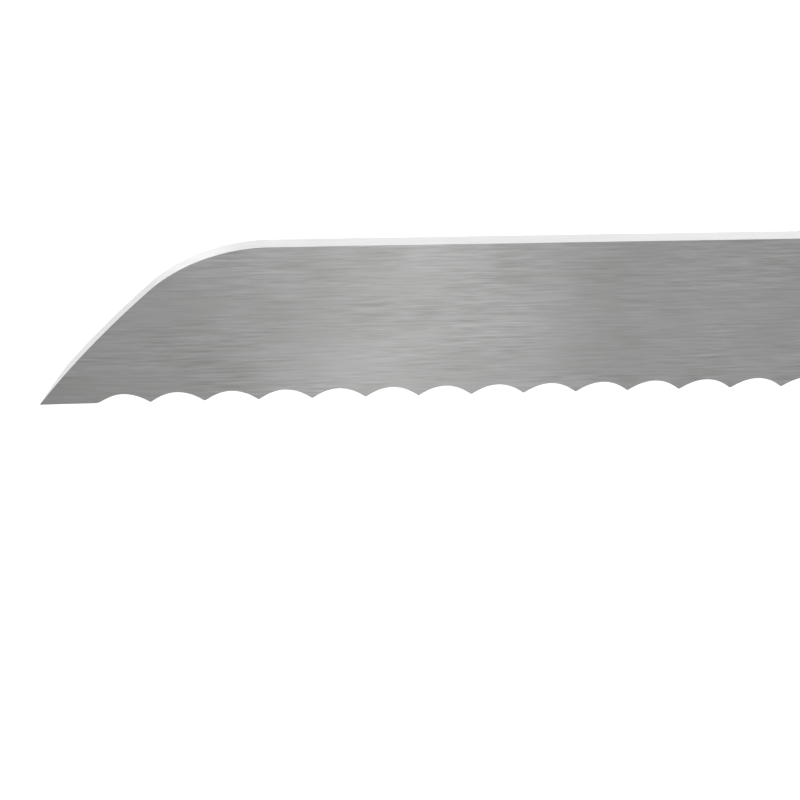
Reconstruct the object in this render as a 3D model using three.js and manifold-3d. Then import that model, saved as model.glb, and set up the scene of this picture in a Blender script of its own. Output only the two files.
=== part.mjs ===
// Bread knife with a scalloped blade and a riveted full-tang handle.
//
// Millimetres. +X runs from the tip to the butt of the handle, +Y from the left side of
// the knife to its right side, +Z from the edge up to the spine. x = 0 is halfway along
// the knife, y = 0 is the middle of the blade's thickness, and z = 0 is the plane that
// the points of the scallops touch.
import * as THREE from 'three';
import { mergeVertices } from 'three/addons/utils/BufferGeometryUtils.js';
import Module from 'manifold-3d';

const wasm = await Module();
wasm.setup();

// ---------- driving dimensions ----------

// blade
const bladeLength = 254;        // tip to bolster, 10 inches
const bladeHeight = 31.75;      // points of the scallops to spine, 1 1/4 inches
const bladeThickness = 2.2;
const tipAngle = rad(55.1);     // the front's slope where it leaves the edge
const shoulderAngle = rad(46.5); // its slope where the rounded shoulder begins
const shoulderRadius = 26;
const tipFlat = 9.1;            // plain edge between the tip and the first scallop
const scallopCount = 27;
const scallopPitch = 8.8;
const scallopDepth = 2.14;
const bevelAngle = rad(20);     // the grind, all of it on the right side
const heelGap = 2;              // bare tang between the heel and the bolster
const heelRadius = 2;           // inside corner below the tang

// handle, measured back from the front face of the bolster
const handleLength = 127;       // 5 inches
const handleThickness = 18.6;
const edgeRounding = 3;         // on the handle's long outer edges
const neckBottom = 9;           // height of the handle's underside at the bolster
const bolsterLength = 15;
const bolsterTaper = 6.5;       // length of the bolster's curved nose
const bolsterNose = 1.1;        // how proud of the blade the nose stands
const linerThickness = 0.6;
const buttRadius = 12;
const buttHeight = 15;          // height of the butt's centre, and of the hanging hole

// fasteners
const rivetStations = { front: 31, middle: 62, rear: 93 };
const rivetHeight = 19;
const rivetHeadRadius = 4;
const rivetHeadDepth = 1.8;
const rivetTubeRadius = 2.5;
const rivetBoreRadius = 1.6;
const rivetPinRadius = 1.5;
const rivetEndPlay = 1;         // free length at each end inside a closed rivet
const bolsterPinStation = 10.5;
const bolsterPinHeights = { upper: 26, lower: 14.5 };
const bolsterPinRadius = 1.75;
const hangTubeOuterRadius = 4;
const hangTubeInnerRadius = 3.2;

// fits
const fit = 0.05;               // glue lines and hole clearances
const flushGap = 0.02;          // rivet and pin ends below the handle's surface

// how finely curves are cut into flats
const outlineSteps = 12;
const scallopSteps = 8;
const roundSteps = 32;
const roundingSteps = 3;

// ---------- derived dimensions ----------

const overallLength = bladeLength + handleLength;
const tipX = -overallLength / 2;
const bolsterX = tipX + bladeLength;
const heelX = bolsterX - heelGap;
const buttCentreX = bolsterX + handleLength - buttRadius;
const halfBlade = bladeThickness / 2;
const halfHandle = handleThickness / 2;
const linerInside = halfBlade + fit;
const linerOutside = linerInside + linerThickness;
const scaleInside = linerOutside + fit;
const scaleFrontX = bolsterX + bolsterLength + fit;
const past = 1;                 // how far a cutter runs past what it cuts

const steel = { color: 0xb4b6b8, roughness: 0.38, metalness: 1 };
const satinSteel = { color: 0xb9babb, roughness: 0.3, metalness: 1 };
const fibre = { color: 0x171615, roughness: 0.75, metalness: 0 };
const wood = { color: 0x4a2a1c, roughness: 0.5, metalness: 0 };

// ---------- helpers ----------

function rad(degrees) {
  return degrees * Math.PI / 180;
}

// A slab with a side-view outline (x along, y up), from yLow to yHigh across the knife.
function slab(shape, yLow, yHigh, steps = outlineSteps, rounding = 0) {
  const geometry = new THREE.ExtrudeGeometry(shape, {
    depth: yHigh - yLow - 2 * rounding,
    curveSegments: steps,
    bevelEnabled: rounding > 0,
    bevelThickness: rounding,
    bevelSize: rounding,
    bevelOffset: -rounding,
    bevelSegments: roundingSteps,
  });
  geometry.rotateX(Math.PI / 2);
  geometry.translate(0, yHigh - rounding, 0);
  return geometry;
}

// A body turned about an axis across the knife, through (x, z).
// The profile's points are [radius, y], from the left end to the right end.
function turned(profile, x, z) {
  const points = profile.map(([radius, y]) => new THREE.Vector2(radius, y));
  const geometry = new THREE.LatheGeometry(points, roundSteps);
  geometry.translate(x, 0, z);
  return geometry;
}

function rod(radius, yLow, yHigh, x, z) {
  return turned([[0, yLow], [radius, yLow], [radius, yHigh], [0, yHigh]], x, z);
}

function block(xLow, xHigh, yLow, yHigh, zLow, zHigh) {
  const geometry = new THREE.BoxGeometry(xHigh - xLow, yHigh - yLow, zHigh - zLow);
  geometry.translate((xLow + xHigh) / 2, (yLow + yHigh) / 2, (zLow + zHigh) / 2);
  return geometry;
}

function solid(geometry) {
  const bare = geometry.clone();
  bare.deleteAttribute('normal');
  bare.deleteAttribute('uv');
  const merged = mergeVertices(bare, 1e-5);
  return new wasm.Manifold(new wasm.Mesh({
    numProp: 3,
    vertProperties: new Float32Array(merged.attributes.position.array),
    triVerts: new Uint32Array(merged.index.array),
  }));
}

function geometryOf(body) {
  const mesh = body.getMesh();
  const geometry = new THREE.BufferGeometry();
  geometry.setAttribute('position', new THREE.BufferAttribute(mesh.vertProperties, 3));
  geometry.setIndex(new THREE.BufferAttribute(mesh.triVerts, 1));
  geometry.computeVertexNormals();
  return geometry;
}

const knife = new THREE.Group();

function addPiece(name, geometry, finish) {
  const mesh = new THREE.Mesh(geometry, new THREE.MeshStandardMaterial(finish));
  mesh.name = name;
  knife.add(mesh);
}

// ---------- outlines ----------

// The handle's outline from the top of the bolster round the butt to its underside.
// The path must already be at the spine, in front of the handle. Both long curves meet
// the round butt along its tangent.
function followHandle(path) {
  const at = (station) => bolsterX + station;
  const top = rad(68);
  const bottom = rad(-72);
  const besideButt = (angle, along) => [
    buttCentreX + buttRadius * Math.cos(angle) + along * Math.sin(angle),
    buttHeight + buttRadius * Math.sin(angle) - along * Math.cos(angle),
  ];
  path.lineTo(at(24), bladeHeight);
  path.bezierCurveTo(at(66), bladeHeight, ...besideButt(top, -14), ...besideButt(top, 0));
  path.absarc(buttCentreX, buttHeight, buttRadius, top, bottom, true);
  path.bezierCurveTo(...besideButt(bottom, 9), at(98), 8.8, at(80), 7.8);
  path.bezierCurveTo(at(64), 6.9, at(58), 5.2, at(46), 5.4);
  path.bezierCurveTo(at(34), 5.6, at(30), neckBottom, at(bolsterLength), neckBottom);
}

// The blade before its edge is ground: it runs a little below the edge's plane.
function blankOutline() {
  const shoulderDrop = shoulderRadius * (1 - Math.cos(shoulderAngle));
  const frontRadius = (bladeHeight - shoulderDrop)
    / (Math.cos(shoulderAngle) - Math.cos(tipAngle));
  const frontCentreX = tipX + frontRadius * Math.sin(tipAngle);
  const frontCentreZ = -frontRadius * Math.cos(tipAngle);
  const shoulderX = frontCentreX
    - (frontRadius - shoulderRadius) * Math.sin(shoulderAngle);
  const shoulderZ = bladeHeight - shoulderRadius;
  const quarter = Math.PI / 2;

  const outline = new THREE.Shape();
  outline.moveTo(heelX, -past);
  outline.lineTo(tipX - past / Math.tan(tipAngle), -past);
  outline.absarc(frontCentreX, frontCentreZ, frontRadius,
    tipAngle + quarter, shoulderAngle + quarter, true);
  outline.absarc(shoulderX, shoulderZ, shoulderRadius, shoulderAngle + quarter, quarter, true);
  followHandle(outline);
  outline.lineTo(bolsterX, neckBottom);
  outline.absarc(bolsterX, neckBottom - heelRadius, heelRadius, quarter, Math.PI, false);
  return outline;
}

// What the grinding wheel takes away, at the left face: everything below the edge.
// Each scallop is a parabola, so neighbours meet in a sharp point.
function edgeOutline() {
  const outline = new THREE.Shape();
  outline.moveTo(tipX - bladeHeight, 0);
  outline.lineTo(tipX + tipFlat, 0);
  for (let i = 0; i < scallopCount; i++) {
    const start = tipX + tipFlat + i * scallopPitch;
    outline.quadraticCurveTo(start + scallopPitch / 2, 2 * scallopDepth, start + scallopPitch, 0);
  }
  outline.lineTo(heelX + past, 0);
  outline.lineTo(heelX + past, -bladeHeight);
  outline.lineTo(tipX - bladeHeight, -bladeHeight);
  return outline;
}

// Side view of the whole handle, run on in front of the bolster so that its rounded
// edges don't end there.
function handleOutline() {
  const frontX = bolsterX - 2 * edgeRounding;
  const outline = new THREE.Shape();
  outline.moveTo(frontX, neckBottom);
  outline.lineTo(frontX, bladeHeight);
  followHandle(outline);
  return outline;
}

// ---------- the pieces ----------

// Every hole for a fastener goes right through the tang, the liners and the scales.
function fastenerHoles(rivetHoleRadius) {
  const reach = halfHandle + past;
  const hole = (radius, x, z) => solid(rod(radius, -reach, reach, x, z));
  let holes = hole(hangTubeOuterRadius + fit, buttCentreX, buttHeight);
  for (const station of Object.values(rivetStations)) {
    holes = holes.add(hole(rivetHoleRadius, bolsterX + station, rivetHeight));
  }
  for (const height of Object.values(bolsterPinHeights)) {
    const x = bolsterX + bolsterPinStation;
    holes = holes.add(hole(bolsterPinRadius + fit, x, height));
  }
  return holes;
}

// Left face flat, right side ground: the edge's outline swept up and to the right.
function bladeGeometry() {
  const blank = solid(slab(blankOutline(), -halfBlade, halfBlade));
  const reach = halfBlade + past;
  const wheel = slab(edgeOutline(), -reach, reach, scallopSteps);
  const rise = 1 / Math.tan(bevelAngle);
  wheel.translate(0, halfBlade, 0);
  wheel.applyMatrix4(new THREE.Matrix4().makeShear(0, 0, 0, rise, 0, 0));
  wheel.translate(0, -halfBlade, 0);
  return geometryOf(blank.subtract(solid(wheel)).subtract(holes));
}

// Top view of one bolster half: a curved nose, then straight sides. The curve's last
// handle lies in line with the sides, so the nose runs into them smoothly.
function bolsterPlan(side) {
  const noseEndX = bolsterX + bolsterTaper;
  const backX = bolsterX + bolsterLength;
  const outside = halfHandle + past;
  const inside = linerInside;
  const outline = new THREE.Shape();
  outline.moveTo(bolsterX, side * inside);
  outline.lineTo(bolsterX, side * (halfBlade + bolsterNose));
  outline.bezierCurveTo(bolsterX + bolsterTaper * 0.15, side * halfHandle * 0.75,
    bolsterX + bolsterTaper * 0.45, side * halfHandle, noseEndX, side * halfHandle);
  outline.lineTo(noseEndX, side * outside);
  outline.lineTo(backX, side * outside);
  outline.lineTo(backX, side * inside);
  return outline;
}

function bolsterGeometry(side) {
  const plan = new THREE.ExtrudeGeometry(bolsterPlan(side), {
    depth: bladeHeight,
    curveSegments: outlineSteps,
    bevelEnabled: false,
  });
  return geometryOf(handleBody.intersect(solid(plan)).subtract(holes));
}

function linerGeometry(side) {
  const ends = [side * linerInside, side * linerOutside].sort((a, b) => a - b);
  const sheet = solid(slab(handleOutline(), ...ends));
  const room = block(scaleFrontX, tipX + overallLength + past,
    -halfHandle, halfHandle, 0, bladeHeight + past);
  return geometryOf(sheet.intersect(solid(room)).subtract(holes));
}

// A scale is the handle's body outside the liner, counterbored for the rivet heads.
function scaleGeometry(side) {
  const ends = [side * scaleInside, side * (halfHandle + past)].sort((a, b) => a - b);
  const room = block(scaleFrontX, tipX + overallLength + past, ...ends, 0, bladeHeight + past);
  let scale = handleBody.intersect(solid(room)).subtract(holes);
  const seat = side * (halfHandle - rivetHeadDepth - 2 * fit);
  const counterbore = [seat, side * (halfHandle + past)].sort((a, b) => a - b);
  for (const station of Object.values(rivetStations)) {
    const x = bolsterX + station;
    scale = scale.subtract(solid(rod(rivetHeadRadius + fit, ...counterbore, x, rivetHeight)));
  }
  return geometryOf(scale);
}

// The half with the hollow shank: head on the left, open end towards the right.
function rivetTube(x) {
  const left = -halfHandle + flushGap;
  const shoulder = left + rivetHeadDepth;
  const mouth = halfHandle - rivetHeadDepth - rivetEndPlay;
  return turned([
    [0, left], [rivetHeadRadius, left], [rivetHeadRadius, shoulder],
    [rivetTubeRadius, shoulder], [rivetTubeRadius, mouth],
    [rivetBoreRadius, mouth], [rivetBoreRadius, shoulder], [0, shoulder],
  ], x, rivetHeight);
}

// The half with the solid pin, pressed into the tube from the right.
function rivetPin(x) {
  const right = halfHandle - flushGap;
  const shoulder = right - rivetHeadDepth;
  const pinEnd = -halfHandle + rivetHeadDepth + rivetEndPlay;
  return turned([
    [0, pinEnd], [rivetPinRadius, pinEnd], [rivetPinRadius, shoulder],
    [rivetHeadRadius, shoulder], [rivetHeadRadius, right], [0, right],
  ], x, rivetHeight);
}

function hangingTube() {
  const end = halfHandle - flushGap;
  return turned([
    [hangTubeInnerRadius, -end], [hangTubeOuterRadius, -end],
    [hangTubeOuterRadius, end], [hangTubeInnerRadius, end], [hangTubeInnerRadius, -end],
  ], buttCentreX, buttHeight);
}

const holes = fastenerHoles(rivetTubeRadius + fit);
const handleBody = solid(
  slab(handleOutline(), -halfHandle, halfHandle, outlineSteps, edgeRounding),
);

addPiece('blade', bladeGeometry(), steel);
for (const [name, side] of [['left', -1], ['right', 1]]) {
  addPiece(`${name}_bolster`, bolsterGeometry(side), satinSteel);
  addPiece(`${name}_liner`, linerGeometry(side), fibre);
  addPiece(`${name}_scale`, scaleGeometry(side), wood);
}
for (const [name, height] of Object.entries(bolsterPinHeights)) {
  const end = halfHandle - flushGap;
  const pin = rod(bolsterPinRadius, -end, end, bolsterX + bolsterPinStation, height);
  addPiece(`${name}_bolster_pin`, pin, satinSteel);
}
for (const [name, station] of Object.entries(rivetStations)) {
  addPiece(`${name}_rivet_tube`, rivetTube(bolsterX + station), satinSteel);
  addPiece(`${name}_rivet_pin`, rivetPin(bolsterX + station), satinSteel);
}
addPiece('hanging_tube', hangingTube(), satinSteel);

export default knife;
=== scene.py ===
# %% [markdown]
# # A bread knife, from tip to butt
# The knife is one steel plate from the tip of the blade to the end of the handle. At the
# front it is blade, at the back it is tang, and everything else is fastened to the tang:
# two bolster halves, two fibre liners, two wooden scales, six rivet halves, two pins and
# the tube that lines the hanging hole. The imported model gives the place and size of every
# piece, so this lesson only has to make each surface fine enough to look at closely.
# Lengths are in metres, so a length in millimetres is written as a number times mm.

# %% Load the frame
from math import radians

import bmesh
import bpy
import numpy as np
from mathutils import Matrix, Vector


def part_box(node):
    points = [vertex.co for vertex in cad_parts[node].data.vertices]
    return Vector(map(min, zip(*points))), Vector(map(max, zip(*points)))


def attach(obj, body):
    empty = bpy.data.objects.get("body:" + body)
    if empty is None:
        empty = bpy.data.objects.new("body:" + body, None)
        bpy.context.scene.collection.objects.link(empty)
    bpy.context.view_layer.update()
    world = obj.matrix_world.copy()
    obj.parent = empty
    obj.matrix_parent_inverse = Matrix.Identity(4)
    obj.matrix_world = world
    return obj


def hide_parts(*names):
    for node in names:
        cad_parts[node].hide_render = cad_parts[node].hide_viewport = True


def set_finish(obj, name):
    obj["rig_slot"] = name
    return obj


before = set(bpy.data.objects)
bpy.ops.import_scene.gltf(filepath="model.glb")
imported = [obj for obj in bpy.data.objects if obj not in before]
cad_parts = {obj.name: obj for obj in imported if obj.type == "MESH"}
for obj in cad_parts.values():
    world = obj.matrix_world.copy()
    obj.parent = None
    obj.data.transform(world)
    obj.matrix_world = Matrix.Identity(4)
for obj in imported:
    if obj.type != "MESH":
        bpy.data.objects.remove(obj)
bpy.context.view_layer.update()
mm = 0.001

# %% [markdown]
# ## Sizes
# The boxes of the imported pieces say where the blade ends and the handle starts, how thick
# each layer is and where each fastener sits. What a box can't say is the shape of a
# curve, so the few numbers of each curve are named here once.

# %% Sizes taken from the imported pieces
blade_low, blade_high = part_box("blade")
bolster_low, bolster_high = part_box("left_bolster")
liner_low, liner_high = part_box("left_liner")
scale_low, scale_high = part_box("left_scale")
hang_low, hang_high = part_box("hanging_tube")

tip_x, butt_x = blade_low.x, blade_high.x
spine_z = blade_high.z
half_blade = blade_high.y
half_handle = -bolster_low.y
bolster_x, neck_z = bolster_low.x, bolster_low.z
layers = {"liner": (-liner_high.y, -liner_low.y), "scale": (-scale_high.y, half_handle)}
hang_x, hang_z = (hang_low.x + hang_high.x) / 2, (hang_low.z + hang_high.z) / 2
print("blade", round((bolster_x - tip_x) / mm, 1), "mm, handle", round((butt_x - bolster_x) / mm, 1))

# %% Sizes of the curves
tip_angle, shoulder_angle = radians(55.1), radians(46.5)
shoulder_radius = 26 * mm
tip_flat = 9.1 * mm
scallops, scallop_pitch, scallop_depth = 27, 8.8 * mm, 2.14 * mm
point_rounding, first_depth = 0.1 * mm, 0.94
soft_start, extra_softness = 0.3, 4
bevel_angle = radians(20)
heel_x, heel_radius = bolster_x - 2 * mm, 2 * mm
edge_rounding = 3 * mm
butt_radius = butt_x - hang_x
butt_top, butt_bottom = radians(68), radians(-72)

# %% [markdown]
# ## Outlines
# Seen from the side, the knife is held between two rails: an upper one along the sloping
# front, the spine and the top of the handle, and a lower one along the edge, the heel and
# the underside of the handle. Both run from the tip to the end of the butt, where they
# meet. A curve that is worked out once as a rail can then carry the section of the blade,
# of the liners or of the scales.

# %% The sloping front and the edge
def front_height(x):
    """Height of the outline above the edge's plane, from the tip to the spine.
    Two arcs that share a tangent: a nearly straight one, R1 = (H - R2 (1 - cos b)) /
    (cos b - cos a), where a and b are the slopes at its ends, then the shoulder's R2."""
    drop = shoulder_radius * (1 - np.cos(shoulder_angle))
    radius = (spine_z - drop) / (np.cos(shoulder_angle) - np.cos(tip_angle))
    centre_x, centre_z = tip_x + radius * np.sin(tip_angle), -radius * np.cos(tip_angle)
    top_x = centre_x - (radius - shoulder_radius) * np.sin(shoulder_angle)
    join_x = top_x - shoulder_radius * np.sin(shoulder_angle)
    slope = centre_z + np.sqrt(np.maximum(radius**2 - (x - centre_x) ** 2, 0))
    round_part = np.sqrt(np.maximum(shoulder_radius**2 - (x - top_x) ** 2, 0))
    shoulder = spine_z - shoulder_radius + round_part
    return np.where(x < join_x, slope, np.where(x < top_x, shoulder, spine_z))


def edge_height(x):
    """z = 4 d p (1 - p), a parabola over each scallop, where p runs from 0 to 1 along it.
    Taking hypot(z, r) - r instead of z rounds the points to about the radius r. The first
    scallop is a little shallower, and its r is five times as large where it starts."""
    along = (x - tip_x - tip_flat) / scallop_pitch
    phase = along - np.floor(along)
    scallop = 4 * scallop_depth * phase * (1 - phase)
    scallop = np.where((along > 0) & (along < scallops), scallop, 0)
    start = np.exp(-((along / soft_start) ** 2))
    rounding = point_rounding * (1 + extra_softness * start)
    first = np.where(along < 1, first_depth, 1)
    return np.hypot(scallop * first, rounding) - rounding


# %% The handle's rails
def bezier(a, b, c, d, steps=120):
    t = np.linspace(0, 1, steps)[:, None]
    a, b, c, d = (np.array(p) for p in (a, b, c, d))
    return (1 - t) ** 3 * a + 3 * (1 - t) ** 2 * t * b + 3 * (1 - t) * t**2 * c + t**3 * d


def beside_butt(angle, along=0.0):
    """The point of the round butt at this angle, or a point further along its tangent."""
    return (hang_x + butt_radius * np.cos(angle) + along * np.sin(angle),
            hang_z + butt_radius * np.sin(angle) - along * np.cos(angle))


def on_butt(start, end, steps=120):
    angle = np.linspace(start, end, steps)
    return np.column_stack([hang_x + butt_radius * np.cos(angle),
                            hang_z + butt_radius * np.sin(angle)])


def at(station, height):
    """A point of the handle: millimetres behind the bolster's front, and above the edge."""
    return bolster_x + station * mm, height * mm


def handle_rail(upper):
    """One rail of the handle as a fine polyline, from the bolster's front to the butt."""
    if upper:
        parts = [
            np.array([at(0, spine_z / mm), at(24, spine_z / mm)]),
            bezier(at(24, spine_z / mm), at(66, spine_z / mm),
                   beside_butt(butt_top, -14 * mm), beside_butt(butt_top)),
            on_butt(butt_top, 0.0),
        ]
    else:
        parts = [
            np.array([at(0, neck_z / mm), at(15, neck_z / mm)]),
            bezier(at(15, neck_z / mm), at(30, neck_z / mm), at(34, 5.6), at(46, 5.4)),
            bezier(at(46, 5.4), at(58, 5.2), at(64, 6.9), at(80, 7.8)),
            bezier(at(80, 7.8), at(98, 8.8), beside_butt(butt_bottom, 9 * mm),
                   beside_butt(butt_bottom)),
            on_butt(butt_bottom, 0.0),
        ]
    return np.concatenate([parts[0]] + [part[1:] for part in parts[1:]])


def walk(rail, start_x, steps):
    """Points evenly spaced along a rail, from where it passes start_x to its end."""
    run = np.concatenate([[0], np.cumsum(np.linalg.norm(np.diff(rail, axis=0), axis=1))])
    ahead = rail[:, 0] <= start_x
    first = np.interp(start_x, rail[: ahead.sum() + 1, 0], run[: ahead.sum() + 1])
    wanted = np.linspace(first, run[-1], steps)
    return np.column_stack([np.interp(wanted, run, rail[:, k]) for k in (0, 1)])


def inward(rail, upper):
    """Unit normals of a rail, pointing into the knife: the direction turned by 90 degrees."""
    along = np.gradient(rail, axis=0)
    along /= np.linalg.norm(along, axis=1, keepdims=True)
    turn = 1 if upper else -1
    return np.column_stack([along[:, 1], -along[:, 0]]) * turn


upper_rail, lower_rail = handle_rail(True), handle_rail(False)
print("the rails meet at", (upper_rail[-1] / mm).round(2), (lower_rail[-1] / mm).round(2))

# %% [markdown]
# ## Camera, floor and light
# The camera looks down on the front half of the blade, from the left side of the knife. A
# long lens keeps the blade's outline almost square on. The light is that of a white studio.
# The knife lies over a light table, which glows, so that no shadow darkens it under the
# scallops. Broad panels overhead, on the left and on the right light everything evenly.
# Steel shows what it mirrors: the spine mirrors one wide panel behind the knife and stays
# bright, and its colour is painted lighter as well, a painted highlight. The face mirrors a
# dim surround and a narrow strip in front, and turns mid grey, brightest in its middle. Only
# the camera itself sees the surround as white.

# %% Camera
camera_data = bpy.data.cameras.new("camera")
camera_data.lens, camera_data.sensor_width = 70, 36
camera = bpy.data.objects.new("camera", camera_data)
bpy.context.scene.collection.objects.link(camera)
bpy.context.scene.camera = camera
first_point = Vector((tip_x + tip_flat + scallop_pitch, 0, 0))
from_first_point = Vector((18.97, -185.08, 179.08)) * mm
yaw, pitch, roll = radians(6.808), radians(44.175), radians(3.318)
turn = (Matrix.Rotation(-yaw, 4, "Z") @ Matrix.Rotation(radians(90) - pitch, 4, "X")
        @ Matrix.Rotation(roll, 4, "Z"))
camera.matrix_world = Matrix.Translation(first_point + from_first_point) @ turn
camera_data.clip_start, camera_data.clip_end = 0.01, 20
print("the camera stands", [round(v / mm) for v in camera.matrix_world.translation], "mm")

# %% Light
scene = bpy.context.scene
scene.view_settings.view_transform = "Standard"
world = bpy.data.worlds.new("surround")
scene.world = world
world.use_nodes = True
mirrored = world.node_tree.nodes["Background"]
mirrored.inputs["Color"].default_value = (1, 1, 1, 1)
mirrored.inputs["Strength"].default_value = 0.42
seen = world.node_tree.nodes.new("ShaderNodeBackground")
seen.inputs["Color"].default_value = (1, 1, 1, 1)
either = world.node_tree.nodes.new("ShaderNodeMixShader")
ray = world.node_tree.nodes.new("ShaderNodeLightPath")
world.node_tree.links.new(ray.outputs["Is Camera Ray"], either.inputs["Fac"])
world.node_tree.links.new(mirrored.outputs["Background"], either.inputs[1])
world.node_tree.links.new(seen.outputs["Background"], either.inputs[2])
world.node_tree.links.new(either.outputs["Shader"],
                          world.node_tree.nodes["World Output"].inputs["Surface"])


def soft_box(name, place, aim, width, height, power):
    light = bpy.data.lights.new(name, "AREA")
    light.shape, light.size, light.size_y, light.energy = "RECTANGLE", width, height, power
    box = bpy.data.objects.new(name, light)
    scene.collection.objects.link(box)
    box.location = place
    box.rotation_euler = (Vector(aim) - Vector(place)).to_track_quat("-Z", "Y").to_euler()


def sky_panel(name, direction, width, strength):
    """A panel so far away that it lights the whole table evenly: a sun with a wide disc.
    Its width is the angle that it spans, in degrees."""
    light = bpy.data.lights.new(name, "SUN")
    light.angle, light.energy = radians(width), strength
    panel = bpy.data.objects.new(name, light)
    scene.collection.objects.link(panel)
    panel.rotation_euler = Vector(direction).to_track_quat("Z", "Y").to_euler()


sky_panel("panel overhead", (0.1, -0.2, 1.0), width=60, strength=1.15)
sky_panel("panel on the left", (-0.8, -0.6, 0.8), width=40, strength=1.0)
sky_panel("panel on the right", (0.8, -0.6, 0.8), width=40, strength=1.0)
soft_box("panel behind", (-0.4, 0.95, 0.48), (-0.4, 0, 0.3), width=1.8, height=0.95, power=12.0)
soft_box("strip in front", (-0.066, -0.75, 0.16), (-0.1, 0, 0.015),
         width=0.06, height=0.3, power=1.2)
print("lights:", sorted(light.name for light in bpy.data.lights))

# %% Floor
floor_mesh = bpy.data.meshes.new("table")
reach = 12.0
floor_mesh.from_pydata([(-reach, -reach, 0), (reach, -reach, 0), (reach, reach, 0),
                        (-reach, reach, 0)], [], [(0, 1, 2, 3)])
floor = bpy.data.objects.new("table", floor_mesh)
scene.collection.objects.link(floor)
glass = bpy.data.materials.new("light table")
glass.use_nodes = True
glow = glass.node_tree.nodes["Principled BSDF"].inputs
glow["Base Color"].default_value = (0.45, 0.45, 0.45, 1)
glow["Roughness"].default_value = 0.7
glow["Emission Color"].default_value = (1, 1, 1, 1)
glow["Emission Strength"].default_value = 0.7
floor_mesh.materials.append(glass)
print("the table measures", 2 * reach, "m each way")

# %% [markdown]
# ## From a grid of points to a mesh
# Every piece is a grid: one row for each station along the piece, and one column for each
# point round its section. Neighbouring rows are joined by four-sided faces and the two
# end rows are closed. Where the rails meet, a row shrinks to a line or a point, so the
# points that fall together are merged before the faces are turned outwards.

# %% Skin a grid
merge_within, collapse_within = 0.001 * mm, 0.0005 * mm
flat_cosine, nearly_flat_cosine = 0.99999, 0.9


def skin(name, grid, sharp=30, closed_rows=False, closed_columns=True):
    """Object from grid[i, j]: the face (i, j) joins the points (i, j), (i + 1, j),
    (i + 1, j + 1) and (i, j + 1). Closed rows or columns wrap round; open rows are
    closed by a face at each end."""
    rows, cols = grid.shape[:2]
    i = np.arange(rows if closed_rows else rows - 1)[:, None]
    j = np.arange(cols if closed_columns else cols - 1)[None, :]
    below, beside = (i + 1) % rows, (j + 1) % cols
    quads = np.stack([i * cols + j, below * cols + j, below * cols + beside,
                      i * cols + beside], axis=-1).reshape(-1, 4)
    ends = [] if closed_rows else [range(cols), range((rows - 1) * cols, rows * cols)]
    mesh = bpy.data.meshes.new(name)
    mesh.from_pydata(grid.reshape(-1, 3), [], quads.tolist() + [list(end) for end in ends])
    tidy = bmesh.new()
    tidy.from_mesh(mesh)
    bmesh.ops.remove_doubles(tidy, verts=tidy.verts, dist=merge_within)
    bmesh.ops.dissolve_degenerate(tidy, edges=tidy.edges, dist=collapse_within)
    bmesh.ops.recalc_face_normals(tidy, faces=tidy.faces)
    tidy.to_mesh(mesh)
    tidy.free()
    smooth(mesh, sharp)
    piece = bpy.data.objects.new(name, mesh)
    bpy.context.scene.collection.objects.link(piece)
    return piece


def smooth(mesh, sharp):
    mesh.polygons.foreach_set("use_smooth", np.ones(len(mesh.polygons), bool))
    mesh.set_sharp_from_angle(angle=radians(sharp))


def point_array(mesh):
    points = np.empty(len(mesh.vertices) * 3, np.float32)
    mesh.vertices.foreach_get("co", points)
    return points.reshape(-1, 3).astype(float)


def face_corners(mesh):
    """Point index and face normal of every corner of every face."""
    points, sides = np.empty(len(mesh.loops), np.int64), np.empty(len(mesh.polygons), np.int64)
    normals = np.empty(len(mesh.polygons) * 3)
    mesh.loops.foreach_get("vertex_index", points)
    mesh.polygons.foreach_get("loop_total", sides)
    mesh.polygons.foreach_get("normal", normals)
    return points, np.repeat(normals.reshape(-1, 3), sides, axis=0), sides


def point_normals(mesh):
    """Sum of area x normal over the faces round each point, scaled to length 1."""
    points, normals, sides = face_corners(mesh)
    areas = np.empty(len(mesh.polygons))
    mesh.polygons.foreach_get("area", areas)
    pulls = normals * np.repeat(areas, sides)[:, None]
    total = np.stack([np.bincount(points, pull, len(mesh.vertices)) for pull in pulls.T], 1)
    return total / np.maximum(np.linalg.norm(total, axis=1, keepdims=True), 1e-12)


def mark(mesh, name, values):
    """Keeps one number for each point on the mesh, where a finish can read it."""
    attribute = mesh.attributes.new(name, "FLOAT", "POINT")
    attribute.data.foreach_set("value", values.astype(np.float32))


def level_flats(mesh):
    """A flat side keeps its own normal right up to its borders, and a rounding starts
    from it, so that long thin faces beside a drilled hole don't catch the light."""
    points, normals, _ = face_corners(mesh)
    shading = np.empty(len(mesh.loops) * 3, np.float32)
    mesh.corner_normals.foreach_get("vector", shading)
    shading = shading.reshape(-1, 3)
    for flat in np.array([(0, 1, 0), (0, -1, 0), (0, 0, 1), (0, 0, -1)]):
        touching = np.zeros(len(mesh.vertices), bool)
        touching[points[normals @ flat > flat_cosine]] = True
        shading[touching[points] & (shading @ flat > nearly_flat_cosine)] = flat
    mesh.normals_split_custom_set(shading)


def lay_brushing(piece, along=lambda x, y, z: x, across=lambda x, y, z: z + y):
    """A UV map "brushing": U runs along the brushed lines and V across them, in metres.
    With V = z + y, V changes on the sides of the knife and on its top alike."""
    mesh = piece.data
    x, y, z = point_array(mesh)[face_corners(mesh)[0]].T
    uv = np.column_stack([along(x, y, z), across(x, y, z)])
    mesh.uv_layers.new(name="brushing").data.foreach_set("uv", uv.astype(np.float32).ravel())


handed_in = []


def hand_in(piece, slot, node):
    """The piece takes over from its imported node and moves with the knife."""
    level_flats(piece.data)
    handed_in.append(piece)
    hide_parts(node)
    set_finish(piece, slot)
    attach(piece, "root")
    print(piece.name, len(piece.data.polygons), "faces")


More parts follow.
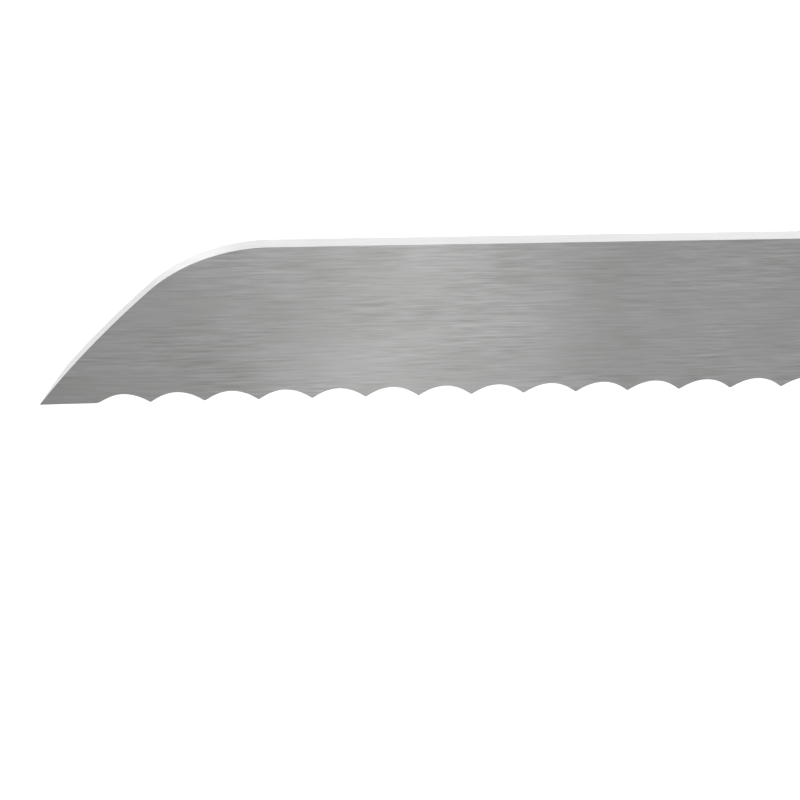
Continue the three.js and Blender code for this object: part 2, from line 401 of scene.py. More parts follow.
def hand_in_pair(left, name, slot, node):
    """Hands in the left piece and its mirror image, (x, y, z) to (x, -y, z). A mirrored
    face would look inwards, so the faces of the copy are flipped back."""
    mesh = left.data.copy()
    places = point_array(mesh) * (1, -1, 1)
    mesh.vertices.foreach_set("co", places.astype(np.float32).ravel())
    mesh.flip_normals()
    right = bpy.data.objects.new(f"right_{name}", mesh)
    bpy.context.scene.collection.objects.link(right)
    hand_in(left, slot, f"left_{node}")
    hand_in(right, slot, f"right_{node}")


# %% [markdown]
# ## Drilling
# The holes for the rivets, the pins and the hanging tube are drilled as they are in the
# workshop: a set of round cutters is taken out of the finished layer, all in one cut. A
# turned body is a grid too, with its profile as columns and the angle round its axis as
# rows.

# %% Turned bodies and drilled holes
def turned(name, profile, x, z, steps=96, sharp=30, ring=False):
    """(radius, y) points turned about the line through (x, z) across the knife:
    P(a, j) = (x + r_j cos a, y_j, z + r_j sin a). A ring's profile closes on itself."""
    radius, across = np.array(profile).T
    angle = np.linspace(0, 2 * np.pi, steps, endpoint=False)[:, None]
    grid = np.stack([x + radius * np.cos(angle), across + 0 * angle,
                     z + radius * np.sin(angle)], axis=-1)
    return skin(name, grid, sharp, closed_rows=True, closed_columns=ring)


def drill(piece, holes, sharp):
    """Takes round holes that don't touch each other out of a piece, in one cut. Each
    hole is (x, z, radius, low y, high y)."""
    drills = bmesh.new()
    for x, z, r, low, high in holes:
        one = turned("drill", [(0, low), (r, low), (r, high), (0, high)], x, z)
        drills.from_mesh(one.data)
        bpy.data.objects.remove(one)
    drills_mesh = bpy.data.meshes.new("drills")
    drills.to_mesh(drills_mesh)
    drills.free()
    cutter = bpy.data.objects.new("drills", drills_mesh)
    bpy.context.scene.collection.objects.link(cutter)
    cut = piece.modifiers.new("holes", "BOOLEAN")
    cut.operation, cut.solver, cut.object = "DIFFERENCE", "MANIFOLD", cutter
    piece.data = bpy.data.meshes.new_from_object(
        piece.evaluated_get(bpy.context.evaluated_depsgraph_get()))
    piece.modifiers.clear()
    bpy.data.objects.remove(cutter)
    smooth(piece.data, sharp)


def middle_of(node):
    low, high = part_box(node)
    return (low.x + high.x) / 2, (low.z + high.z) / 2


rivets = {place: middle_of(f"{place}_rivet_tube") for place in ("front", "middle", "rear")}
pins = {place: middle_of(f"{place}_bolster_pin") for place in ("upper", "lower")}
rivet_head = (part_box("front_rivet_tube")[1].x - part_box("front_rivet_tube")[0].x) / 2
pin_radius = (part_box("upper_bolster_pin")[1].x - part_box("upper_bolster_pin")[0].x) / 2
hang_radius = (hang_high.x - hang_low.x) / 2
shank_radius, head_depth, clearance = 2.5 * mm, 1.8 * mm, 0.04 * mm
through = 12 * mm
rivet_holes = [(x, z, shank_radius + clearance, -through, through) for x, z in rivets.values()]
pin_holes = [(x, z, pin_radius + clearance, -through, through) for x, z in pins.values()]
hang_hole = [(hang_x, hang_z, hang_radius + clearance, -through, through)]
print("rivet heads", round(rivet_head / mm, 2), "mm in radius, pins", round(pin_radius / mm, 2))

# %% [markdown]
# ## Blade and tang
# The blade is ground on its right side only. The wheel cuts upwards through the plate at
# twenty degrees, so each scallop of the edge runs on as a hollow up the bevel, and the
# left side stays flat right down to the edge. Along the left of the edge there is only a
# hair-thin facet, where the burr was taken off. The section therefore has three parts: the
# spine's softened corners hang from the upper rail, and the bevel and the facet stand on
# the lower one.

# %% Stations along the blade
facet_depth, facet_height = 0.03 * mm, 0.1 * mm
left_corner, right_corner, beside = 0.14 * mm, 0.3 * mm, 0.12 * mm
full_size_above = 8 * mm
tip_stations, scallop_stations, tang_stations = 90, 56, 380


def blade_rails():
    """Upper and lower rail points and their inward normals, from the tip to the butt."""
    first, last = tip_x + tip_flat, tip_x + tip_flat + scallops * scallop_pitch
    x = np.concatenate([
        tip_x + tip_flat * np.linspace(0, 1, tip_stations, endpoint=False) ** 1.5,
        np.linspace(first, last, scallops * scallop_stations, endpoint=False),
        np.linspace(last, heel_x, 8),
    ])
    upper = np.column_stack([x, front_height(x)])
    lower = np.column_stack([x, edge_height(x)])
    bend = np.linspace(radians(12), radians(90), 16, endpoint=False)
    fillet = np.column_stack([bolster_x - heel_radius * np.cos(bend),
                              neck_z - heel_radius * (1 - np.sin(bend))])
    straight_up = np.tile([0.0, 1.0], (len(x) + len(bend), 1))
    above_fillet = np.column_stack([fillet[:, 0], np.full(len(bend), spine_z)])
    upper_handle = walk(upper_rail, bolster_x, tang_stations)
    lower_handle = walk(lower_rail, bolster_x, tang_stations)
    upper = np.concatenate([upper, above_fillet, upper_handle])
    lower = np.concatenate([lower, fillet, lower_handle])
    lower_normal = np.concatenate([straight_up, inward(lower_handle, False)])
    ground = np.arange(len(upper)) < len(x)
    return upper, inward(upper, True), lower, lower_normal, ground


def around(rail, normal, insets, across):
    """Points of a section: the rail moved inwards by each inset, at each y."""
    insets, across = np.broadcast_arrays(insets, across)
    flat = rail[:, None, :] + insets[..., None] * normal[:, None, :]
    return np.stack([flat[..., 0], across, flat[..., 1]], axis=-1)


def blade_grid():
    """One row for each station. All small radii shrink with the height near the tip."""
    upper, upper_normal, lower, lower_normal, ground = blade_rails()
    height = upper[:, 1] - lower[:, 1]
    k = np.clip(height / full_size_above, 0, 1)[:, None]
    rise = 2 * half_blade / np.tan(bevel_angle)
    reach = np.clip((height[:, None] - (right_corner + 2 * beside) * k) / rise, 0, 1)
    reach = np.where(ground[:, None], reach, 1.0)
    right = -half_blade + 2 * half_blade * reach
    bevel_top = np.where(ground[:, None], rise * reach, facet_height)

    bend = np.linspace(0, np.pi / 2, 9)
    left_arc = k * left_corner
    right_arc = k * right_corner
    spine = np.concatenate([
        around(upper, upper_normal, left_arc + beside * k, -half_blade),
        around(upper, upper_normal, left_arc * (1 - np.sin(bend)),
               -half_blade + left_arc * (1 - np.cos(bend))),
        around(upper, upper_normal, 0 * k, -half_blade + left_arc + beside * k),
        around(upper, upper_normal, 0 * k, right - right_arc - beside * k),
        around(upper, upper_normal, right_arc * (1 - np.sin(bend[::-1])),
               right - right_arc * (1 - np.cos(bend[::-1]))),
        around(upper, upper_normal, right_arc + beside * k, right),
    ], axis=1)

    edge_y = -half_blade + np.where(ground[:, None], facet_depth * k, facet_height)
    part = np.array([[2 / 3, 1 / 3]])
    bevel_inset = np.where(ground[:, None], bevel_top * part, 0.0)
    bevel_y = np.where(ground[:, None], edge_y + (right - edge_y) * part,
                       np.array([[half_blade - facet_height, 0.0]]))
    edge = np.concatenate([
        around(lower, lower_normal, bevel_top + beside * k, right),
        around(lower, lower_normal, bevel_top, right),
        around(lower, lower_normal, bevel_inset, bevel_y),
        around(lower, lower_normal, 0 * k, edge_y),
        around(lower, lower_normal, facet_height * k, -half_blade),
        around(lower, lower_normal, (facet_height + beside) * k, -half_blade),
    ], axis=1)
    return np.concatenate([spine, edge], axis=1)


# %% The blade piece
blade_sharp = 14
blade = skin("blade_and_tang", blade_grid(), blade_sharp)
drill(blade, hang_hole + rivet_holes + pin_holes, blade_sharp)


def mark_grind(mesh):
    """The attribute "ground" is 1 on the bevel: below the plane that the wheel cut."""
    x, y, z = point_array(mesh).T
    hair = 0.01 * mm
    cut = edge_height(x) + (y + half_blade) / np.tan(bevel_angle)
    on_bevel = (x <= heel_x + hair) & (z < cut + 2 * hair) & (y > -half_blade + hair)
    mark(mesh, "ground", on_bevel)


def mark_painted_highlight(mesh):
    """The attribute "back" is 1 along the spine and the sloping front: what looks up.
    The blade steel paints these up-facing surfaces lighter: a painted highlight.
    """
    across, up = point_normals(mesh).T[1:]
    mark(mesh, "back", (np.abs(across) < 0.3) & (up > 0))


lay_brushing(blade)
mark_grind(blade.data)
# Up-facing surfaces, which the blade steel paints lighter as a painted highlight.
mark_painted_highlight(blade.data)
hand_in(blade, "blade_steel", "blade")

# %% [markdown]
# ## Liners and scales
# Two strips of black fibre lie against the tang, and the wooden scales lie on the fibre.
# All of them are sawn to the tang's outline and then sanded together, so they are carried
# along the same two rails. The wood has shrunk a hair since, and stands a little lower
# than the steel. Its long outer edges are rounded over, which is a quarter circle in the
# section: inset = r (1 - cos a), y = shoulder + r sin a.

# %% Layers of the handle
handle_stations = 320
wood_shrinkage, fibre_shrinkage, soft_corner = 0.03 * mm, 0.06 * mm, 0.12 * mm
handle_sharp = 24


def mirror_section(upper_part, lower_part):
    """Joins the upper half of a section to the lower half, walked the other way."""
    return np.concatenate([upper_part, lower_part[:, ::-1]], axis=1)


def layer_grid(insets, across):
    """A layer on the left of the tang; its section is given once, for both rails."""
    halves = []
    for rail, upper in ((upper_rail, True), (lower_rail, False)):
        line = walk(rail, scale_low.x, handle_stations)
        insets_here = np.tile(insets, (len(line), 1))
        halves.append(around(line, inward(line, upper), insets_here, -across))
    return mirror_section(*halves)


def make_liner(name):
    inner, outer = layers["liner"]
    insets = np.array([fibre_shrinkage, fibre_shrinkage])
    liner = skin(name, layer_grid(insets, np.array([inner, outer])), handle_sharp)
    drill(liner, hang_hole + rivet_holes, handle_sharp)
    return liner


def make_scale(name):
    inner, outer = layers["scale"]
    bend = np.linspace(0, np.pi / 2, 16)
    shoulder = outer - edge_rounding
    insets = np.concatenate([
        [soft_corner, 0, 0], edge_rounding * (1 - np.cos(bend)), [edge_rounding + 0.5 * mm],
    ]) + wood_shrinkage
    across = np.concatenate([
        [inner, inner + soft_corner, shoulder - 0.5 * mm],
        shoulder + edge_rounding * np.sin(bend), [outer],
    ])
    scale = skin(name, layer_grid(insets, across), handle_sharp)
    seat = head_depth + clearance - outer
    seats = [(x, z, rivet_head + clearance, -through, seat) for x, z in rivets.values()]
    drill(scale, hang_hole + rivet_holes, handle_sharp)
    drill(scale, seats, handle_sharp)
    return scale


hand_in_pair(make_liner("left_fibre_liner"), "fibre_liner", "liner_fibre", "liner")
hand_in_pair(make_scale("left_wooden_scale"), "wooden_scale", "handle_wood", "scale")

# %% [markdown]
# ## Bolster
# The two bolster halves close the front of the handle. From above, each half swells in a
# curve from just proud of the blade to the full thickness of the scale behind it. That
# curve gives the thickness at every station, and the rounding of the top and bottom edges
# grows with it, until it equals the rounding of the scales.

# %% Bolster halves and their pins
bolster_nose, bolster_taper = 1.1 * mm, 6.5 * mm
nose_softening = 0.25 * mm


def bolster_plan():
    """Stations of the curve seen from above, as (x, y) rows from the nose to the back."""
    nose_y = half_blade + bolster_nose
    bend = np.linspace(0, np.pi / 2, 7)
    softened = np.column_stack([bolster_x + nose_softening * (1 - np.sin(bend[::-1])),
                                nose_y - nose_softening * (1 - np.cos(bend[::-1]))])
    swell = bezier((bolster_x + nose_softening, nose_y),
                   (bolster_x + bolster_taper * 0.15, half_handle * 0.75),
                   (bolster_x + bolster_taper * 0.45, half_handle),
                   (bolster_x + bolster_taper, half_handle), steps=48)
    back = np.array([[bolster_x + bolster_taper + 0.5 * mm, half_handle],
                     [bolster_high.x, half_handle]])
    return np.concatenate([softened[::-1][:-1], swell, back])


def make_bolster(name):
    inner = layers["liner"][0]
    plan_x, plan_y = bolster_plan().T
    rounding = (edge_rounding * (plan_y - inner) / (half_handle - inner))[:, None]
    bend = np.linspace(0, np.pi / 2, 13)
    insets = np.concatenate([0 * rounding, rounding * (1 - np.cos(bend)),
                             rounding * 1.15], axis=1)
    across = np.concatenate([0 * rounding + inner,
                             plan_y[:, None] - rounding * (1 - np.sin(bend)),
                             plan_y[:, None]], axis=1)
    halves = [around(np.column_stack([plan_x, np.full(len(plan_x), z)]),
                     np.tile([0.0, down], (len(plan_x), 1)), insets, -across)
              for z, down in ((spine_z, -1.0), (neck_z, 1.0))]
    bolster = skin(name, mirror_section(*halves), handle_sharp)
    drill(bolster, pin_holes, handle_sharp)
    middle = (spine_z + neck_z) / 2

    def up_and_over(x, y, z):
        in_from_side = np.interp(x, plan_x, plan_y) - np.abs(y)
        return z + np.sign(z - middle) * in_from_side

    lay_brushing(bolster, lambda x, y, z: x + np.abs(y), up_and_over)
    return bolster


hand_in_pair(make_bolster("left_bolster_half"), "bolster_half", "bolster_steel", "bolster")


def round_bar(radius, low, high, chamfer):
    """Profile of a round bar with a small chamfer at each end."""
    return [(0, low), (radius - chamfer, low), (radius, low + chamfer),
            (radius, high - chamfer), (radius - chamfer, high), (0, high)]


for place, (x, z) in pins.items():
    low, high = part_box(f"{place}_bolster_pin")
    bar = turned(f"{place}_peened_pin", round_bar(pin_radius, low.y, high.y, 0.05 * mm), x, z)
    lay_brushing(bar)
    hand_in(bar, "bolster_steel", f"{place}_bolster_pin")

# %% [markdown]
# ## Rivets and the hanging tube
# A cutler's rivet comes in two halves. One is a head on a hollow shank, the other a head
# on a solid pin that is a little too thick for the hollow: squeezed together through the
# handle, they never come apart. Only the heads show, sanded flush with the wood. The tube
# in the butt keeps a hook from wearing the wood, and its lips are opened out a little.

# %% Rivet halves
bore_radius, rivet_pin_radius, end_play = 1.6 * mm, 1.5 * mm, 1 * mm
head_chamfer, lip = 0.12 * mm, 0.35 * mm


def head(radius, face, inward_sign):
    """Profile points of a head, from the middle of its face to its underside."""
    under = face + inward_sign * head_depth
    return [(0, face), (radius - head_chamfer, face),
            (radius, face + inward_sign * head_chamfer), (radius, under)], under


for place, (x, z) in rivets.items():
    left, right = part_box(f"{place}_rivet_tube")[0].y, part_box(f"{place}_rivet_pin")[1].y
    face, under = head(rivet_head, left, 1)
    mouth = half_handle - head_depth - end_play
    shank = [(shank_radius, under), (shank_radius, mouth), (bore_radius, mouth),
             (bore_radius, under), (0, under)]
    hollow = turned(f"{place}_rivet_hollow_half", face + shank, x, z)
    lay_brushing(hollow)
    hand_in(hollow, "rivet_steel", f"{place}_rivet_tube")
    face, under = head(rivet_head, right, -1)
    pin = [(rivet_pin_radius, under), (rivet_pin_radius, -mouth), (0, -mouth)]
    solid = turned(f"{place}_rivet_solid_half", face + pin, x, z)
    lay_brushing(solid)
    hand_in(solid, "rivet_steel", f"{place}_rivet_pin")

# %% Hanging tube
hang_bore = 3.2 * mm
tube_end = hang_high.y
tube_half = [(hang_radius, 0), (hang_radius, tube_end - head_chamfer),
             (hang_radius - head_chamfer, tube_end)]
lip_bend = np.linspace(0, np.pi / 2, 7)
tube_lip = [(hang_bore + lip * (1 - np.sin(a)), tube_end - lip * (1 - np.cos(a)))
            for a in lip_bend]
outside = tube_half + tube_lip
profile = outside + [(r, -y) for r, y in outside[:0:-1]]
tube = turned("hanging_hole_tube", profile, hang_x, hang_z, ring=True)
lay_brushing(tube)
hand_in(tube, "rivet_steel", "hanging_tube")

# %% [markdown]
# ## Building blocks for the finishes
# A finish is a network of nodes, and a short helper makes it readable: put() adds a node,
# sets its inputs from numbers or from other nodes' outputs, and hands back its outputs.
# Effects that several finishes share, such as brushing, are node groups. They are built
# once and placed in each material with that material's own sizes.

# %% Node helpers
def put(tree, kind, inputs=None, **properties):
    """Adds a node and returns its outputs. A socket as a value becomes a link."""
    node = tree.nodes.new("ShaderNode" + kind)
    for name, value in properties.items():
        setattr(node, name, value)
    for name, value in (inputs or {}).items():
        if isinstance(value, bpy.types.NodeSocket):
            tree.links.new(value, node.inputs[name])
        else:
            node.inputs[name].default_value = value
    return node.outputs


def sum_up(tree, operation, *values, clamp=False):
    """One maths node; its values are numbers or sockets."""
    return put(tree, "Math", dict(enumerate(values)), operation=operation, use_clamp=clamp)[0]


def weigh(tree, first, first_share, second, second_share):
    """Adds two values, each multiplied by its share."""
    return sum_up(tree, "ADD", sum_up(tree, "MULTIPLY", first, first_share),
                  sum_up(tree, "MULTIPLY", second, second_share))


def plus(tree, value, extra, share):
    """Adds to a value a share of another one."""
    return sum_up(tree, "ADD", value, sum_up(tree, "MULTIPLY", extra, share))


def spread(tree, value, low, high, new_low=0.0, new_high=1.0):
    """Moves the span low..high of a value to new_low..new_high, and stops at both ends."""
    names = ("Value", "From Min", "From Max", "To Min", "To Max")
    return put(tree, "MapRange", dict(zip(names, (value, low, high, new_low, new_high))),
               interpolation_type="SMOOTHSTEP")[0]


def blend(tree, amount, first, second):
    """Mixes two colours, which are sockets or (r, g, b)."""
    sides = [side if isinstance(side, bpy.types.NodeSocket) else (*side, 1)
             for side in (first, second)]
    return put(tree, "Mix", {0: amount, 6: sides[0], 7: sides[1]}, data_type="RGBA")[2]


def noise(tree, place, size, detail=2.0, roughness=0.55):
    """Noise from 0 to 1 whose grains measure size, a number or (x, y, z), in metres."""
    if not isinstance(size, bpy.types.NodeSocket):
        size = np.broadcast_to(size, 3).tolist()
    scaled = put(tree, "VectorMath", {0: place, 1: size}, operation="DIVIDE")[0]
    return put(tree, "TexNoise", {"Vector": scaled, "Scale": 1.0, "Detail": detail,
                                  "Roughness": roughness})[0]


def new_group(name, inputs, outputs):
    """An empty node group. An input whose default is None takes a vector."""
    group = bpy.data.node_groups.new(name, "ShaderNodeTree")
    for socket, default in inputs.items():
        kind = "NodeSocketVector" if default is None else "NodeSocketFloat"
        made = group.interface.new_socket(socket, in_out="INPUT", socket_type=kind)
        if default is not None:
            made.default_value = default
    for socket in outputs:
        group.interface.new_socket(socket, in_out="OUTPUT", socket_type="NodeSocketFloat")
    result = group.nodes.new("NodeGroupOutput").inputs
    return group, group.nodes.new("NodeGroupInput").outputs, result


def use(tree, group, inputs):
    node = tree.nodes.new("ShaderNodeGroup")
    node.node_tree = group
    for name, value in inputs.items():
        if isinstance(value, bpy.types.NodeSocket):
            tree.links.new(value, node.inputs[name])
        else:
            node.inputs[name].default_value = value
    return node.outputs


def new_finish(name, **shader_values):
    """A material and its Principled BSDF, with the values that are the same all over."""
    material = bpy.data.materials.new(name)
    material.use_nodes = True
    shader = material.node_tree.nodes["Principled BSDF"]
    for socket, value in shader_values.items():
        shader.inputs[socket.replace("_", " ")].default_value = value
    return material, material.node_tree, shader.inputs


# %% Shared effects: brushing, wear and handling
brushing, given, result = new_group(
    "brushing", {"Place": None, "Length": 0.006, "Width": 0.0003}, ("Streaks", "Patches"))
tree = brushing
grain = put(tree, "CombineXYZ", {"X": given["Length"], "Y": given["Width"],
                                 "Z": given["Width"]})[0]
long_grain = put(tree, "VectorMath", {0: grain, 1: (6.0, 3.5, 3.5)}, operation="MULTIPLY")[0]
streaks = noise(tree, given["Place"], grain, detail=1.0)
broad = noise(tree, given["Place"], long_grain)
both = weigh(tree, streaks, 0.7, broad, 0.3)
tree.links.new(spread(tree, both, 0.3, 0.7), result["Streaks"])
tree.links.new(spread(tree, noise(tree, given["Place"], 0.03), 0.3, 0.7), result["Patches"])

wear, given, result = new_group(
    "edge wear", {"Place": None, "Edge": 0.0, "Reach": 0.3, "Patch": 0.004}, ("Worn",))
tree = wear
patch = put(tree, "CombineXYZ", {axis: given["Patch"] for axis in "XYZ"})[0]
uneven = spread(tree, noise(tree, given["Place"], patch), 0.3, 0.7, -0.2, 0.2)
start = sum_up(tree, "SUBTRACT", sum_up(tree, "SUBTRACT", 1.0, given["Reach"]), uneven)
tree.links.new(spread(tree, given["Edge"], start, 1.0), result["Worn"])

handling, given, result = new_group(
    "handling marks", {"Place": None, "Smudge": 0.012, "Scratch": 0.009},
    ("Smudges", "Scratches"))
tree = handling
patch = put(tree, "CombineXYZ", {axis: given["Smudge"] for axis in "XYZ"})[0]
smudges = noise(tree, given["Place"], patch, detail=3.0)
tree.links.new(spread(tree, smudges, 0.42, 0.68), result["Smudges"])
hairline = sum_up(tree, "MULTIPLY", given["Scratch"], 0.008)
hair = put(tree, "CombineXYZ", {"X": given["Scratch"], "Y": hairline, "Z": hairline})[0]
scratches = []
for slant in (0.08, -0.13):
    turned_place = put(tree, "Mapping", {"Vector": given["Place"], "Rotation": (0, slant, 0)},
                       vector_type="POINT")[0]
    scratches.append(spread(tree, noise(tree, turned_place, hair, detail=0.0), 0.72, 0.8))
tree.links.new(sum_up(tree, "MAXIMUM", *scratches), result["Scratches"])
print("groups:", sorted(group.name for group in bpy.data.node_groups))

# %% [markdown]
# ## Where a surface is worn
# Hands and cloths polish what stands proud: the edges. At a rounded or chamfered edge the
# surface looks neither straight across the knife nor straight along it, so 2 n sqrt(1 - n n)
# of the normal's y part n is a good measure: 0 on flats and 1 where the surface is at 45
# degrees. It is worked out once for each point and kept on the mesh as the attribute "edge".

# %% Mark the edges
def mark_edges(mesh):
    across = np.abs(point_normals(mesh)[:, 1])
    edge = 2 * across * np.sqrt(np.maximum(1 - across**2, 0))
    points, normals, _ = face_corners(mesh)
    edge[points[np.abs(normals[:, 1]) > flat_cosine]] = 0
    mark(mesh, "edge", edge)


def here(tree):
    return put(tree, "TexCoord")["Object"]


def marked(tree, name):
    return put(tree, "Attribute", attribute_name=name)["Fac"]


def relief(tree, height, depth):
    """A bump node: height from 0 to 1 stands for depth, in metres."""
    return put(tree, "Bump", {"Height": height, "Distance": depth, "Strength": 1.0})[0]


# %% [markdown]
# ## Blade steel
# The faces of the blade were brushed lengthwise on a belt, which leaves grooves a few
# tenths of a millimetre apart and some millimetres long. The grooves spread a reflection
# up and down but hardly sideways, so the shader is anisotropic, with its direction taken
# from the UV map. The belt never presses quite evenly, so calm areas lie between harder
# brushed ones. The bevel was ground afterwards by a wheel that ran up the blade: it is
# brighter, and its marks stand across the edge.

# %% Blade steel
def brushed_places(tree):
    """The brushing map as two places: with the lines along X, and turned across them."""
    axes = put(tree, "SeparateXYZ", {0: put(tree, "UVMap", uv_map="brushing")["UV"]})
    along = put(tree, "CombineXYZ", {"X": axes["X"], "Z": axes["Y"]})[0]
    across = put(tree, "CombineXYZ", {"X": axes["Y"], "Z": axes["X"]})[0]
    return along, across


def steel_colour(tree, streaks, patches, dark, light):
    """From dark to light, three quarters by the streaks and one quarter by the patches."""
    return blend(tree, weigh(tree, streaks, 0.75, patches, 0.25), dark, light)


def follow_brushing(tree, shader):
    """Turns the shader's stretched reflection along the brushing map."""
    tangent = put(tree, "Tangent", direction_type="UV_MAP", uv_map="brushing")[0]
    tree.links.new(tangent, shader["Tangent"])


def blade_steel():
    material, tree, shader = new_finish("blade steel", Metallic=1.0, Anisotropic=0.95,
                                        Anisotropic_Rotation=0.25)
    place, ground, back = here(tree), marked(tree, "ground"), marked(tree, "back")
    along, across = brushed_places(tree)
    belt = use(tree, brushing, {"Place": along, "Length": 0.007, "Width": 0.00042})
    fine = use(tree, brushing, {"Place": along, "Length": 0.003, "Width": 0.00011})
    wheel = use(tree, brushing, {"Place": across, "Length": 0.012, "Width": 0.00022})
    marks = use(tree, handling, {"Place": place, "Smudge": 0.02, "Scratch": 0.008})
    worn = use(tree, wear, {"Place": place, "Edge": marked(tree, "edge"), "Reach": 0.35})["Worn"]

    even = weigh(tree, belt["Streaks"], 0.65, fine["Streaks"], 0.35)
    pressure = spread(tree, noise(tree, place, (0.022, 0.022, 0.011)), 0.35, 0.65, 0.7, 1.4)
    swing = sum_up(tree, "MULTIPLY", sum_up(tree, "SUBTRACT", even, 0.5), pressure)
    lines = sum_up(tree, "ADD", 0.5, swing, clamp=True)
    face = steel_colour(tree, lines, belt["Patches"],
                        (0.2, 0.2, 0.196), (0.335, 0.335, 0.335))
    # Painted highlight: the up-facing spine and sloping front get a lighter copy of the steel
    # colour.
    spine = steel_colour(tree, lines, belt["Patches"],
                         (0.48, 0.48, 0.477), (0.56, 0.56, 0.56))
    bevel = steel_colour(tree, wheel["Streaks"], wheel["Patches"],
                         (0.3, 0.3, 0.3), (0.52, 0.52, 0.52))
    # The mask "back" lays that painted highlight over the face and bevel colours.
    colour = blend(tree, back, blend(tree, ground, face, bevel), spine)
    bright = blend(tree, sum_up(tree, "MULTIPLY", worn, ground), colour, (0.5, 0.5, 0.5))
    tree.links.new(blend(tree, sum_up(tree, "MULTIPLY", marks["Scratches"], 0.15), bright,
                         (0.4, 0.4, 0.4)), shader["Base Color"])

    rough = plus(tree, plus(tree, 0.42, belt["Streaks"], 0.06), marks["Smudges"], 0.02)
    smoother = plus(tree, rough, sum_up(tree, "MAXIMUM", ground, back), -0.12)
    tree.links.new(smoother, shader["Roughness"])

    grooves = put(tree, "Mix", {0: ground, 2: lines, 3: wheel["Streaks"]},
                  data_type="FLOAT")[0]
    tree.links.new(relief(tree, grooves, 0.000004), shader["Normal"])
    follow_brushing(tree, shader)
    return material


# %% [markdown]
# ## Bolster and rivet steel
# The bolster is finished with a finer belt than the blade and buffed a little. The belt
# followed its curved front, so the lines run round it: its brushing map measures U along
# the curve and V up the side and over the top. The rivet heads are sanded with the wood,
# so their scratches run the same way as its grain. Both have their edges rubbed bright.

# %% Bolster and rivet steel
def satin_steel(name, dark, light, length, width, roughness):
    material, tree, shader = new_finish(name, Metallic=1.0, Anisotropic=0.6,
                                        Anisotropic_Rotation=0.25)
    place, along = here(tree), brushed_places(tree)[0]
    belt = use(tree, brushing, {"Place": along, "Length": length, "Width": width})
    fine = use(tree, brushing, {"Place": along, "Length": length / 2, "Width": width / 3})
    marks = use(tree, handling, {"Place": place, "Smudge": 0.008, "Scratch": 0.006})
    worn = use(tree, wear, {"Place": place, "Edge": marked(tree, "edge"), "Reach": 0.3})
    lines = weigh(tree, belt["Streaks"], 0.6, fine["Streaks"], 0.4)
    body = steel_colour(tree, lines, belt["Patches"], dark, light)
    tree.links.new(blend(tree, worn["Worn"], body, (0.42, 0.42, 0.415)), shader["Base Color"])
    rough = plus(tree, plus(tree, roughness, lines, 0.1), marks["Smudges"], 0.05)
    tree.links.new(plus(tree, rough, worn["Worn"], -0.06), shader["Roughness"])
    height = plus(tree, lines, marks["Scratches"], -0.6)
    tree.links.new(relief(tree, height, 0.000003), shader["Normal"])
    follow_brushing(tree, shader)
    return material


# %% [markdown]
# ## Fibre
# Vulcanised fibre is dense, dark paper board. Only its edge shows, as a thin line between
# the steel and the wood, with a faint layering along the sheet and a dusty bloom.

# %% Liner fibre
def liner_fibre():
    material, tree, shader = new_finish("liner fibre", Specular_IOR_Level=0.35)
    place = here(tree)
    layering = noise(tree, place, (0.012, 0.00012, 0.012), detail=3.0)
    bloom = spread(tree, noise(tree, place, 0.003, detail=4.0), 0.45, 0.75)
    colour = blend(tree, spread(tree, layering, 0.3, 0.7), (0.012, 0.011, 0.010),
                   (0.03, 0.027, 0.024))
    tree.links.new(blend(tree, sum_up(tree, "MULTIPLY", bloom, 0.5), colour,
                         (0.06, 0.055, 0.05)), shader["Base Color"])
    tree.links.new(spread(tree, bloom, 0, 1, 0.55, 0.8), shader["Roughness"])
    tree.links.new(relief(tree, layering, 0.00002), shader["Normal"])
    return material


# %% [markdown]
# ## Wood
# The scales are sawn from a dark, close-grained hardwood. Three things make its look: the
# growth rings, which the flat side of the scale cuts into long wandering bands; thin
# nearly black streaks; and open pores, short dark dashes along the grain that are tiny
# grooves as well. The rings are the distance from the trunk's middle, a line far below
# the handle, and noise bends that distance so that no band runs straight.

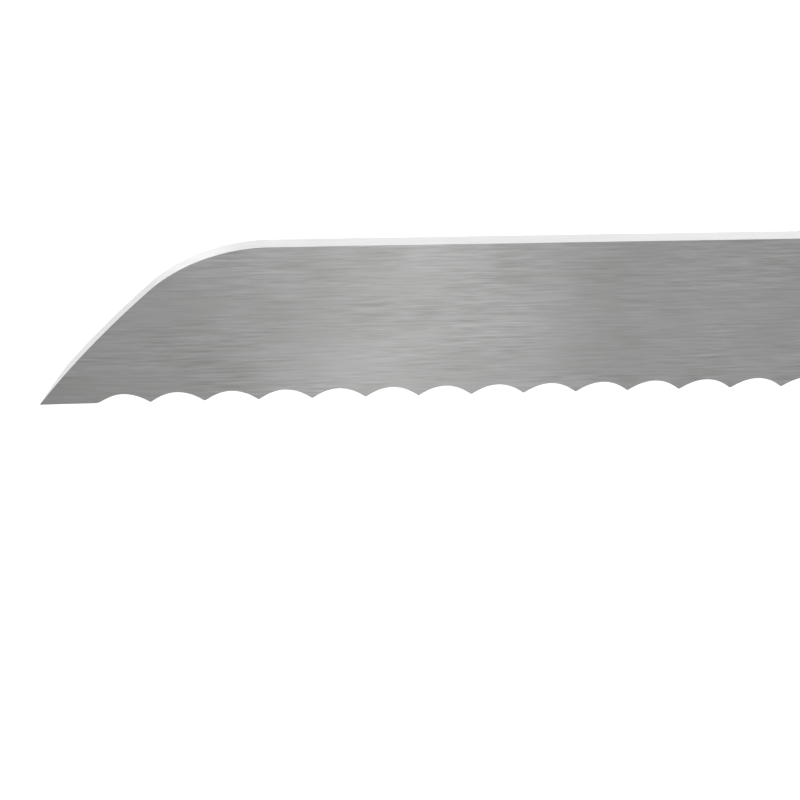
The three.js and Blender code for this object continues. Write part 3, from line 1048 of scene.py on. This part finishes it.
# %% Handle wood
def handle_wood():
    material, tree, shader = new_finish("handle wood", IOR=1.5)
    place = here(tree)
    bend = noise(tree, place, (0.07, 0.02, 0.02), detail=3.0)
    wander = sum_up(tree, "MULTIPLY", sum_up(tree, "SUBTRACT", bend, 0.5), 0.016)
    tilted = put(tree, "Mapping", {"Vector": place, "Rotation": (0, radians(2.5), 0),
                                   "Location": (0, 0.011, 0.034)})[0]
    axes = put(tree, "SeparateXYZ", {0: tilted})
    squares = [sum_up(tree, "MULTIPLY", axes[axis], axes[axis]) for axis in "YZ"]
    radius = sum_up(tree, "ADD", sum_up(tree, "SQRT", sum_up(tree, "ADD", *squares)), wander)
    ring_spacing = 0.0021
    rings = sum_up(tree, "FRACT", sum_up(tree, "DIVIDE", radius, ring_spacing))
    late = spread(tree, rings, 0.25, 0.95)
    closing = spread(tree, rings, 0.95, 1.0)
    band = sum_up(tree, "SUBTRACT", late, closing, clamp=True)
    streak = spread(tree, noise(tree, place, (0.06, 0.0016, 0.0016), detail=4.0), 0.52, 0.68)
    pores = spread(tree, noise(tree, place, (0.0035, 0.00014, 0.00014), detail=1.0), 0.62, 0.7)
    mottle = spread(tree, noise(tree, place, (0.025, 0.008, 0.008), detail=3.0), 0.3, 0.7)

    early = blend(tree, mottle, (0.115, 0.039, 0.016), (0.17, 0.066, 0.027))
    ringed = blend(tree, sum_up(tree, "MULTIPLY", band, 0.75), early, (0.06, 0.018, 0.009))
    streaked = blend(tree, sum_up(tree, "MULTIPLY", streak, 0.8), ringed, (0.018, 0.007, 0.005))
    pored = blend(tree, sum_up(tree, "MULTIPLY", pores, 0.7), streaked, (0.012, 0.006, 0.004))
    worn = use(tree, wear, {"Place": place, "Edge": marked(tree, "edge"), "Reach": 0.45,
                            "Patch": 0.009})["Worn"]
    tree.links.new(blend(tree, sum_up(tree, "MULTIPLY", worn, 0.3), pored,
                         (0.23, 0.1, 0.045)), shader["Base Color"])

    marks = use(tree, handling, {"Place": place, "Smudge": 0.014, "Scratch": 0.007})
    rough = spread(tree, sum_up(tree, "ADD", band, marks["Smudges"]), 0, 2, 0.34, 0.5)
    matt = plus(tree, rough, pores, 0.25)
    tree.links.new(plus(tree, matt, worn, -0.06), shader["Roughness"])
    height = weigh(tree, band, 0.25, pores, -1.0)
    scored = plus(tree, height, marks["Scratches"], -0.3)
    tree.links.new(relief(tree, scored, 0.00003), shader["Normal"])
    return material


# %% Finish every piece
finishes = {
    "blade_steel": blade_steel(),
    "bolster_steel": satin_steel("bolster steel", (0.24, 0.24, 0.238), (0.35, 0.35, 0.347),
                                 0.008, 0.00024, 0.28),
    "rivet_steel": satin_steel("rivet steel", (0.28, 0.28, 0.277), (0.42, 0.42, 0.415),
                               0.005, 0.0002, 0.24),
    "liner_fibre": liner_fibre(),
    "handle_wood": handle_wood(),
}
for piece in handed_in:
    mark_edges(piece.data)
    piece.data.materials.clear()
    piece.data.materials.append(finishes[piece["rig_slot"]])
print(len(handed_in), "pieces finished")
